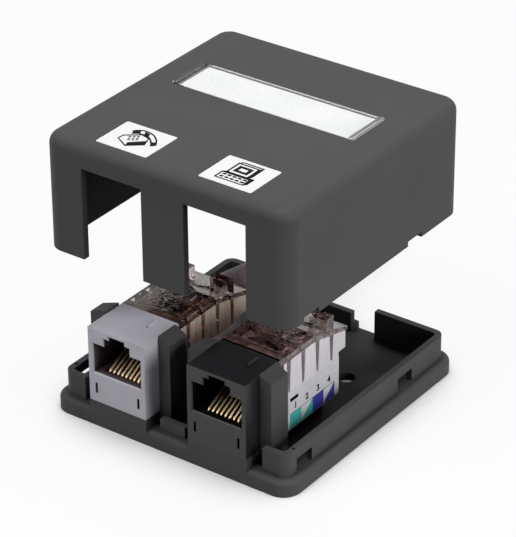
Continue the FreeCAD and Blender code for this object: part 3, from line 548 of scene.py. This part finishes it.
cable_sheath = nurbs_line("cable_sheath", CABLE_POINTS)
cable_sheath.data.bevel_depth = CABLE_DIAMETER / 2 * MM
cable_sheath.data.bevel_resolution = 8
cable_sheath.data.use_fill_caps = True
paint(cable_sheath, cable_jacket)
print("cable past", len(CABLE_POINTS), "points")

# %% [markdown]
# From here on pieces are modelled with the same tools as by hand. Those tools act on all
# that is selected, so each step begins by saying what is. A finished piece keeps its place
# in its mesh, as a CAD solid does, and faces are picked by the way they look.

# %% Working by hand
SMOOTH_BELOW = math.radians(40)
STRAIGHT_ENOUGH = 0.9


def select_only(*things):
    bpy.ops.object.select_all(action="DESELECT")
    for thing in things:
        thing.select_set(True)
    bpy.context.view_layer.objects.active = things[0]


def apply_place(thing):
    """Puts a piece's place, turn and scale into its mesh, as a CAD node has them."""
    select_only(thing)
    bpy.ops.object.transform_apply(location=True, rotation=True, scale=True)


def smooth(thing):
    """Shades the round parts smooth and leaves the sharp edges sharp."""
    select_only(thing)
    bpy.ops.object.shade_smooth_by_angle(angle=SMOOTH_BELOW)


def copy_of(thing, name):
    twin = thing.copy()
    twin.data = thing.data.copy()
    twin.name = name
    bpy.context.scene.collection.objects.link(twin)
    return twin


def pick_faces(thing, wanted):
    """In edit mode, selects the faces that the test wants and no others."""
    shape = bmesh.from_edit_mesh(thing.data)
    bpy.ops.mesh.select_mode(type="FACE")
    for face in shape.faces:
        face.select_set(wanted(face))
    shape.select_flush_mode()
    bmesh.update_edit_mesh(thing.data)


# %% [markdown]
# A cable that is cut square shows its cores. Here the cut end is far from the box, and its
# eight cores stand out of the jacket by half a millimetre, each with its copper wire bare.
# One core is a cylinder whose end face is inset and pulled out a little, so the copper is a
# face of the same solid and only has another material.

# %% One cut core
CORE_RADIUS = 0.46
CORE_REACH = 0.55
CORE_HIDDEN = 2.5
COPPER_INSET = 0.21
COPPER_REACH = 0.12

bpy.ops.object.select_all(action="DESELECT")
bpy.ops.mesh.primitive_cylinder_add(vertices=20, radius=CORE_RADIUS * MM,
                                    depth=(CORE_REACH + CORE_HIDDEN) * MM,
                                    location=(0, 0, (CORE_REACH - CORE_HIDDEN) / 2 * MM))
first_core = bpy.context.object
apply_place(first_core)
bpy.ops.object.mode_set(mode="EDIT")
pick_faces(first_core, lambda face: face.normal.z > STRAIGHT_ENOUGH)
bpy.ops.mesh.inset(thickness=COPPER_INSET * MM)
bpy.ops.mesh.extrude_region_move(TRANSFORM_OT_translate={"value": (0, 0, COPPER_REACH * MM)})
bpy.ops.object.mode_set(mode="OBJECT")
core_copper = plated_metal("core_copper", dark=(0.62, 0.30, 0.18, 1), light=(0.86, 0.48, 0.30, 1),
                           roughness=0.3)
first_core.data.materials.append(cores["blue"])
first_core.data.materials.append(core_copper)
for polygon in first_core.data.polygons:
    bare = polygon.center.z > (CORE_REACH + COPPER_REACH / 4) * MM
    polygon.material_index = 1 if bare else 0
print("one core of", len(first_core.data.polygons), "faces")

# %% [markdown]
# The core is copied round a ring at the cable's end, and each copy has its own mesh. The
# ring is turned so that it faces along the cable's last stretch.

# %% Cores round the ring
CORE_RING = 1.35
CORE_COUNT = 8

cable_end = Vector(CABLE_POINTS[-1]) * MM
cable_heading = (cable_end - Vector(CABLE_POINTS[-2]) * MM).normalized()
cable_turn = cable_heading.to_track_quat("Z", "Y")
for index in range(CORE_COUNT):
    angle = math.tau * index / CORE_COUNT
    spot = Vector((math.cos(angle), math.sin(angle), 0)) * CORE_RING * MM
    core_end = copy_of(first_core, f"core_end_{index + 1}")
    core_place = Matrix.Translation(cable_end + cable_turn @ spot)
    core_end.matrix_world = core_place @ cable_turn.to_matrix().to_4x4()
    apply_place(core_end)
    smooth(core_end)
    pair_colour = list(CORE_TONES)[index // 2]
    core_end.data.materials[0] = cores[pair_colour if index % 2 else f"white_{pair_colour}"]
    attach(core_end, "tray")
bpy.data.objects.remove(first_core)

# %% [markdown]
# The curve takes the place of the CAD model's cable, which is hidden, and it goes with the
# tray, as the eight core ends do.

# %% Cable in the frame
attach(cable_sheath, "tray")
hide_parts("cable")

# %% [markdown]
# Through the caps one sees a broken pattern: the underside is moulded with thin webs that
# press on the wires, and each web bends the light its own way. Between the CAD cap's ribs
# there is room for them. The round one is a cylinder whose two ends are inset and bridged,
# which leaves a tube. The crossed ones are thin bars, turned about the middle of their bay.

# %% Webs under a cap
WEB_TOP = 22.05
WEB_DEPTH = 2.0
WEB_WALL = 0.45
WEB_ROUNDING = WEB_WALL / 4
RING_RADIUS = 1.95
BAR_LENGTH = 7.6
BAR_TURN = 22
RIB_PITCH = 4.92
FIRST_RIB = -15.9

cap_low, cap_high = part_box("wire_cap_left")
cap_middle = (cap_low.x + cap_high.x) / 2
web_height = (WEB_TOP - WEB_DEPTH / 2) * MM
front_bay, middle_bay, rear_bay = [(FIRST_RIB + RIB_PITCH * (number + 0.5)) * MM for number in range(3)]


def ring_web(bay):
    bpy.ops.object.select_all(action="DESELECT")
    bpy.ops.mesh.primitive_cylinder_add(vertices=32, radius=RING_RADIUS * MM, depth=WEB_DEPTH * MM,
                                        location=(cap_middle, bay, web_height))
    ring = bpy.context.object
    apply_place(ring)
    bpy.ops.object.mode_set(mode="EDIT")
    pick_faces(ring, lambda face: abs(face.normal.z) > STRAIGHT_ENOUGH)
    bpy.ops.mesh.inset(thickness=WEB_WALL * MM)
    bpy.ops.mesh.bridge_edge_loops()
    bpy.ops.object.mode_set(mode="OBJECT")
    return ring


def bar_web(bay, turn):
    bpy.ops.object.select_all(action="DESELECT")
    bpy.ops.mesh.primitive_cube_add(size=MM, location=(cap_middle, bay, web_height),
                                    rotation=(0, 0, math.radians(turn)),
                                    scale=(BAR_LENGTH, WEB_WALL, WEB_DEPTH))
    bar = bpy.context.object
    apply_place(bar)
    rounding = bar.modifiers.new("rounding", "BEVEL")
    rounding.width = WEB_ROUNDING * MM
    rounding.segments = 2
    bpy.ops.object.modifier_apply(modifier="rounding")
    return bar


webs = [ring_web(middle_bay)]
for bay in (front_bay, rear_bay):
    for turn in (BAR_TURN, -BAR_TURN):
        webs.append(bar_web(bay, turn))
print(len(webs), "webs")

# %% [markdown]
# The webs are one mesh of the cap's own plastic, made for the left cap and copied to the
# right one.

# %% Webs under both caps
select_only(*webs)
bpy.ops.object.join()
left_web = bpy.context.object
left_web.name = "cap_web_left"
apply_place(left_web)
right_web = copy_of(left_web, "cap_web_right")
right_web.location.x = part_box("wire_cap_right")[0].x - cap_low.x
for web in (left_web, right_web):
    apply_place(web)
    smooth(web)
    paint(web, smoky_cap)
    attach(web, "tray")
print("webs of", len(left_web.data.polygons), "faces under each cap")

# %% [markdown]
# The screw in the cover's middle cuts its own thread in the tray, so it has a sharp, wide
# spaced thread. A thread is one small triangle carried round and along an axis, and Blender
# has a modifier for just that. The triangle is added standing on the axis and moved out to
# the shank's surface in edit mode. The modifier turns it about the object's origin, so the
# place is applied after it. Both cut ends of the swept triangle are then closed. The crest
# stands out very little, to stay clear of the tray's hole.

# %% Screw thread
SHANK_RADIUS = 1.3
THREAD_CREST = 0.06
THREAD_TRIANGLE = 0.2
THREAD_PITCH = 0.9
THREAD_TURNS = 11
THREAD_START = 0.35
THREAD_STEPS = 24

screw_low, screw_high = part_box("cover_screw")
screw_axis = (screw_low + screw_high) / 2
bpy.ops.object.select_all(action="DESELECT")
bpy.ops.mesh.primitive_circle_add(vertices=3, radius=THREAD_TRIANGLE * MM,
                                  rotation=(math.radians(90), math.radians(90), 0),
                                  location=(screw_axis.x, screw_axis.y, screw_low.z + THREAD_START * MM))
screw_thread = bpy.context.object
screw_thread.name = "screw_thread"
bpy.ops.object.transform_apply(location=False, rotation=True, scale=False)
bpy.ops.object.mode_set(mode="EDIT")
bpy.ops.mesh.select_all(action="SELECT")
bpy.ops.transform.translate(value=((SHANK_RADIUS + THREAD_CREST - THREAD_TRIANGLE) * MM, 0, 0))
bpy.ops.object.mode_set(mode="OBJECT")
winding = screw_thread.modifiers.new("winding", "SCREW")
winding.screw_offset = THREAD_PITCH * MM
winding.iterations = THREAD_TURNS
winding.steps = THREAD_STEPS
winding.render_steps = THREAD_STEPS
bpy.ops.object.modifier_apply(modifier="winding")
bpy.ops.object.mode_set(mode="EDIT")
bpy.ops.mesh.select_mode(type="EDGE")
bpy.ops.mesh.select_all(action="DESELECT")
bpy.ops.mesh.select_non_manifold()
bpy.ops.mesh.edge_face_add()
bpy.ops.mesh.select_all(action="SELECT")
bpy.ops.mesh.normals_make_consistent(inside=False)
bpy.ops.object.mode_set(mode="OBJECT")
apply_place(screw_thread)
paint(screw_thread, screw_steel)
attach(screw_thread, "cover")
print("thread of", THREAD_TURNS, "turns,", len(screw_thread.data.polygons), "faces")

# %% [markdown]
# Each icon plate carries a small black picture for what its port serves. Ink has hardly any
# thickness, but as a thin raised mesh it stays sharp from every side, where a painted
# pattern would need its own map. A picture is drawn in millimetres on the plate: shapes that
# are filled are flat curves, and lines are round ones that are pressed flat.

# %% Drawing in ink
INK_THICKNESS = 0.06


def add_drawn(curve, points, closed):
    spline = curve.splines.new("POLY")
    spline.points.add(len(points) - 1)
    for point, (across, up) in zip(spline.points, points):
        point.co = (across * MM, up * MM, 0, 1)
    spline.use_cyclic_u = closed
    drawn = bpy.data.objects.new("ink", curve)
    bpy.context.scene.collection.objects.link(drawn)
    return drawn


def ink_shape(*points):
    """A filled shape of ink, from its corners in mm."""
    curve = bpy.data.curves.new("ink", "CURVE")
    curve.dimensions = "2D"
    curve.fill_mode = "BOTH"
    curve.extrude = INK_THICKNESS / 2 * MM
    return add_drawn(curve, points, True)


def ink_line(width, points, closed=False):
    """A line of ink of a width in mm, as a round line pressed flat."""
    curve = bpy.data.curves.new("ink", "CURVE")
    curve.dimensions = "3D"
    curve.bevel_depth = width / 2 * MM
    curve.bevel_resolution = 1
    curve.use_fill_caps = True
    line = add_drawn(curve, points, closed)
    line.scale.z = INK_THICKNESS / width
    return line


def rectangle(left, low, right, high):
    """The four corners of an upright rectangle."""
    return [(left, low), (right, low), (right, high), (left, high)]


def arc(centre, radius, start, end, steps=10):
    """Points on an arc, with its angles in degrees from the right."""
    points = []
    for step in range(steps + 1):
        angle = math.radians(start + (end - start) * step / steps)
        points.append((centre[0] + radius * math.cos(angle), centre[1] + radius * math.sin(angle)))
    return points


def keys(corner, pitch, size, columns, rows, lean=0.0):
    """Rows of filled keys from the upper left one down, each row set a lean to the left."""
    blocks = []
    for row in range(rows):
        for column in range(columns):
            left = corner[0] + pitch[0] * column - lean * row
            low = corner[1] - pitch[1] * row
            blocks.append(ink_shape(*rectangle(left, low, left + size[0], low + size[1])))
    return blocks


# %% [markdown]
# A drawing becomes a mesh before it is moved, because a flat curve stays flat on its own
# plane. A curve's front, back and sides come out as separate faces, so they are sewn together
# and turned outwards one drawing at a time, and only then are all the drawings joined. The
# ink's middle lies on the surface, so half of its thickness shows.

# %% Putting ink on a piece
SEWING_GAP = 0.001


def joined(name, drawings):
    """One mesh of all that was drawn, with each drawing's faces sewn together first."""
    for drawing in drawings:
        select_only(drawing)
        bpy.ops.object.convert(target="MESH")
        bpy.ops.object.transform_apply(location=True, rotation=True, scale=True)
        bpy.ops.object.mode_set(mode="EDIT")
        bpy.ops.mesh.select_all(action="SELECT")
        bpy.ops.mesh.remove_doubles(threshold=SEWING_GAP * MM)
        bpy.ops.mesh.normals_make_consistent(inside=False)
        bpy.ops.object.mode_set(mode="OBJECT")
    select_only(*drawings)
    bpy.ops.object.join()
    bpy.context.object.name = name
    return bpy.context.object


def lay_on(drawing, spot, turn, finish, body):
    """Turns a drawing, puts it at its spot and applies both."""
    drawing.rotation_euler = [math.radians(angle) for angle in turn]
    drawing.location = spot
    apply_place(drawing)
    paint(drawing, finish)
    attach(drawing, body)


def top_of(name):
    """The middle of a solid's top face."""
    low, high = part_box(name)
    return Vector(((low.x + high.x) / 2, (low.y + high.y) / 2, high.z))


# %% [markdown]
# The left picture is a telephone, seen from above at a slant: a body with a front edge and
# nine keys, and a handset that bends round its far corner, as two arcs and three pads.

# %% Telephone
TELEPHONE_TURN = 34
TELEPHONE_STRETCH = 1.4
HANDSET_CENTRE = (0.2, -1.0)
BODY_LINE = 0.36
HANDSET_LINE = 0.34

telephone_lines = [
    ink_line(BODY_LINE, [(-3.6, 0.4), (-2.1, -1.9), (1.6, -1.7), (2.3, 0.2), (1.0, 1.3), (-2.7, 1.2)],
             closed=True),
    ink_shape((-2.1, -1.95), (-1.7, -0.95), (2.0, -0.55), (1.6, -1.8)),
    ink_line(HANDSET_LINE, arc(HANDSET_CENTRE, 3.7, 108, -14)),
    ink_line(HANDSET_LINE, arc(HANDSET_CENTRE, 2.6, 88, -4)),
    ink_shape((-1.1, 1.6), (-0.95, 2.5), (0.7, 2.45), (0.5, 1.6)),
    ink_shape((2.7, -2.1), (2.8, -0.9), (3.85, -0.95), (3.7, -2.0)),
    ink_shape((1.4, 1.4), (1.5, 2.3), (2.5, 1.5), (2.1, 0.6)),
]
telephone_lines += keys((-1.6, 0.62), pitch=(0.8, 0.5), size=(0.5, 0.28), columns=3, rows=3, lean=0.1)
telephone_print = joined("telephone_print", telephone_lines)
telephone_print.scale.y = TELEPHONE_STRETCH
lay_on(telephone_print, top_of("icon_plate_left"), (0, 0, TELEPHONE_TURN), black_ink,
       "cover")
print("telephone of", len(telephone_lines), "marks")

# %% [markdown]
# The right picture is a computer: a monitor with a heavy screen frame and a shaded side,
# and under it a keyboard with two rows of keys. The lines are bold, since the whole picture
# is only seven millimetres wide.

# %% Computer
OUTLINE = 0.60
KEYBOARD_LINE = 0.55
THIN_EDGE = 0.42
SCREEN_FRAME = 1.10

computer_lines = [
    ink_line(OUTLINE, [(-2.6, -0.6), (-2.6, 3.4), (2.1, 3.4), (2.1, -0.6)], closed=True),
    ink_shape((2.1, -0.7), (2.1, 3.5), (2.85, 3.95), (2.85, -0.1)),
    ink_line(THIN_EDGE, [(-2.6, 3.4), (-2.0, 4.05), (2.85, 4.05)]),
    ink_line(SCREEN_FRAME, rectangle(-1.5, 0.55, 1.0, 2.35), closed=True),
    ink_line(KEYBOARD_LINE, rectangle(-3.4, -3.4, 3.0, -1.0), closed=True),
    ink_shape((3.0, -3.5), (3.0, -0.9), (3.75, -0.5), (3.75, -2.9)),
    ink_line(THIN_EDGE, [(-3.4, -1.0), (-2.8, -0.6), (3.75, -0.6)]),
]
computer_lines += keys((-2.85, -1.90), pitch=(1.18, 0.95), size=(0.84, 0.52), columns=5, rows=2)
computer_print = joined("computer_print", computer_lines)
lay_on(computer_print, top_of("icon_plate_right"), (0, 0, 0), black_ink,
       "cover")
print("computer of", len(computer_lines), "marks")

# %% [markdown]
# A film on each side of a jack shows which colour of wire goes in which slot: a full box for
# the plain wire of a pair and a half-filled box for the white one. Only numbers are printed
# with the boxes. The right-hand film has the first two pairs' colours and the left-hand
# film the other two. Each ink is drawn once as a flat print, and copied to both jacks.

# %% Printing on the films
BOX_LOW = 0.1
BOX_HIGH = 3.55
BOX_EDGES = [0.3, 4.2, 8.15, 11.9, 15.8]
BOX_LINE = 0.12
NUMBER_SIZE = 2.0
NUMBER_WEIGHT = 0.06
NUMBER_HEIGHT = 4.3
DASH = (0.4, 6.4, 3.1, 7.2)


def ink_number(number, across, up):
    bpy.ops.object.select_all(action="DESELECT")
    bpy.ops.object.text_add()
    text = bpy.context.object
    text.data.body = str(number)
    text.data.size = NUMBER_SIZE * MM
    text.data.align_x = "CENTER"
    text.data.extrude = INK_THICKNESS / 2 * MM
    text.data.offset = NUMBER_WEIGHT * MM
    text.location = (across * MM, up * MM, 0)
    return text


def draw_boxes(pair, first, second):
    """The coloured marks of two pairs: a full box, then a half-filled one, for each ink."""
    prints = []
    for place, colour in enumerate((first, second)):
        left, middle, right = BOX_EDGES[2 * place:2 * place + 3]
        shapes = [ink_shape(*rectangle(left, BOX_LOW, middle, BOX_HIGH)),
                  ink_shape((middle, BOX_LOW), (right, BOX_LOW), (right, BOX_HIGH))]
        prints.append((joined(f"wiring_print_{pair}_{place + 1}", shapes), colour))
    marks = [ink_line(BOX_LINE, [(BOX_EDGES[0], BOX_HIGH), (BOX_EDGES[-1], BOX_HIGH)]),
             ink_shape(*rectangle(*DASH))]
    for edge in BOX_EDGES[1:]:
        marks.append(ink_line(BOX_LINE, [(edge, BOX_LOW), (edge, BOX_HIGH)]))
    for number, (left, right) in enumerate(zip(BOX_EDGES, BOX_EDGES[1:]), start=1):
        marks.append(ink_number(number, (left + right) / 2, NUMBER_HEIGHT))
    prints.append((joined(f"wiring_print_{pair}_marks", marks), black_ink))
    return prints


# %% [markdown]
# A film stands upright along a comb's side, so its prints are stood up first and then turned
# to face right or left. Their zero point is the film's lower corner at the reader's left.

# %% Prints on both jacks
for pair, inks in (("right", (teal_ink, blue_ink)), ("left", (orange_ink, brown_ink))):
    for drawing, finish in draw_boxes(pair, *inks):
        for jack in ("left", "right"):
            film_low, film_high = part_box(f"wiring_label_{jack}_{pair}")
            if pair == "right":
                spot = Vector((film_high.x, film_low.y, film_low.z))
                turn = (90, 0, 90)
            else:
                spot = Vector((film_low.x, film_high.y, film_low.z))
                turn = (90, 0, -90)
            lay_on(copy_of(drawing, f"{drawing.name}_{jack}"), spot, turn, finish, "tray")
        bpy.data.objects.remove(drawing)
print("printed four films")

# %% [markdown]
# The box stands on a plain pale floor, before a plain sky. In the photograph the background
# is nearly white, and pouring more light on it would wash out the object. Light Path tells
# what kind of ray asks, so that the camera, and what mirrors or bends its ray, can be shown a
# whiter world than the one that lights the object.

# %% Kinds of ray
def seen_rays(owner):
    """One where the camera looks, straight on or by way of gloss or clear plastic."""
    rays = add_node(owner, "ShaderNodeLightPath")
    seen = rays.outputs["Is Camera Ray"]
    for kind in ("Is Glossy Ray", "Is Transmission Ray"):
        either = add_node(owner, "ShaderNodeMath")
        either.operation = "MAXIMUM"
        plug(owner, either.inputs[0], seen)
        plug(owner, either.inputs[1], rays.outputs[kind])
        seen = either.outputs["Value"]
    return seen


# %% [markdown]
# Rays that look meet a floor that is mostly its own glow, with enough plain white left for
# a soft shadow, and every other ray meets a grey one. Where the tray closes the floor in, as
# under its screw holes and along its edges, the glow fades, which paints a shadow there. A
# hair's breadth between floor and tray keeps the two faces from fighting over the same place.

# %% Floor
FLOOR_GLOW = 0.90
FLOOR_GLOW_UNDER = 0.1
FLOOR_COVERED = 0.5
FLOOR_OPEN = 0.85
FLOOR_GAP = 0.03
FLOOR_REACH = 20.0
FLOOR_SIDE = 6
FLOOR_GREY = (0.36, 0.36, 0.36, 1)
FLOOR_WHITE = (0.86, 0.86, 0.86, 1)


def pale_floor():
    material, shader = new_material("pale_floor")
    fill(material, shader, Base_Color=FLOOR_GREY, Roughness=0.9, Specular_IOR_Level=0.1)
    lit_white = add_node(material, "ShaderNodeBsdfDiffuse", Color=FLOOR_WHITE).outputs["BSDF"]
    glow = add_node(material, "ShaderNodeEmission", Color=(1, 1, 1, 1), Strength=1.0).outputs["Emission"]
    # Painted shadow: the glow fades where Ambient Occlusion finds the tray close over the floor.
    sky_seen = add_node(material, "ShaderNodeAmbientOcclusion", Distance=FLOOR_REACH * MM).outputs["AO"]
    glow_amount = ranged(material, sky_seen, FLOOR_COVERED, FLOOR_OPEN, FLOOR_GLOW_UNDER, FLOOR_GLOW)
    white = mixed_shaders(material, glow_amount, lit_white, glow)
    fill(material, material.node_tree.nodes["Material Output"],
         Surface=mixed_shaders(material, seen_rays(material), shader.outputs["BSDF"], white))
    return material


bpy.ops.object.select_all(action="DESELECT")
bpy.ops.mesh.primitive_plane_add(size=FLOOR_SIDE, location=(0, 0, -FLOOR_GAP * MM))
floor = bpy.context.object
floor.name = "floor"
paint(floor, pale_floor())
print("floor", FLOOR_GAP, "mm under the tray")

# %% [markdown]
# Three soft lights do the work. One hangs overhead, so the cover's top is the brightest face
# and the tray under it lies in shade. One stands low on the right and lights the right-hand
# faces, but only grazes the tray's floor. The third hangs high in front, from where it
# reaches in under the lifted cover to the jacks' fronts and tops. A lamp's size sets how soft
# it is, and each of these is at least half as wide as it is far away.

# %% Lamps
def softbox(name, place, width, power):
    """A round soft lamp that looks at the origin, with lengths in metres and power in watts."""
    bpy.ops.object.select_all(action="DESELECT")
    bpy.ops.object.light_add(type="AREA", location=place)
    lamp = bpy.context.object
    lamp.name = name
    lamp.data.shape = "DISK"
    lamp.data.size = width
    lamp.data.energy = power
    lamp.rotation_mode = "QUATERNION"
    lamp.rotation_quaternion = (-Vector(place)).to_track_quat("-Z", "Y")
    return lamp


lamps = [
    softbox("overhead", place=(0.05, 0.15, 0.90), width=0.55, power=3.9),
    softbox("side", place=(0.95, 0.00, 0.32), width=0.50, power=5.2),
    softbox("front", place=(-0.24, -0.62, 0.96), width=0.60, power=6.0),
]
print(len(lamps), "lamps")

# %% [markdown]
# The world fills the shadows. Its light is a smooth climb from a dim horizon to a brighter
# zenith, so what opens sideways, such as a port, stays dark inside. The camera, gloss and
# clear plastic see plain white instead.

# %% Sky
SKY_HORIZON = 0.14
SKY_ZENITH = 0.42
SKY_SEEN = 1.0

world = bpy.data.worlds.new("studio")
bpy.context.scene.world = world
world.use_nodes = True
sky = world.node_tree.nodes["Background"]
direction = add_node(world, "ShaderNodeTexCoord").outputs["Generated"]
height = add_node(world, "ShaderNodeSeparateXYZ", Vector=direction).outputs["Z"]
fill(world, sky, Strength=ranged(world, height, 0.0, 1.0, SKY_HORIZON, SKY_ZENITH))
white_sky = add_node(world, "ShaderNodeBackground", Strength=SKY_SEEN).outputs["Background"]
fill(world, world.node_tree.nodes["World Output"],
     Surface=mixed_shaders(world, seen_rays(world), sky.outputs["Background"], white_sky))
print("sky from", SKY_HORIZON, "to", SKY_ZENITH)
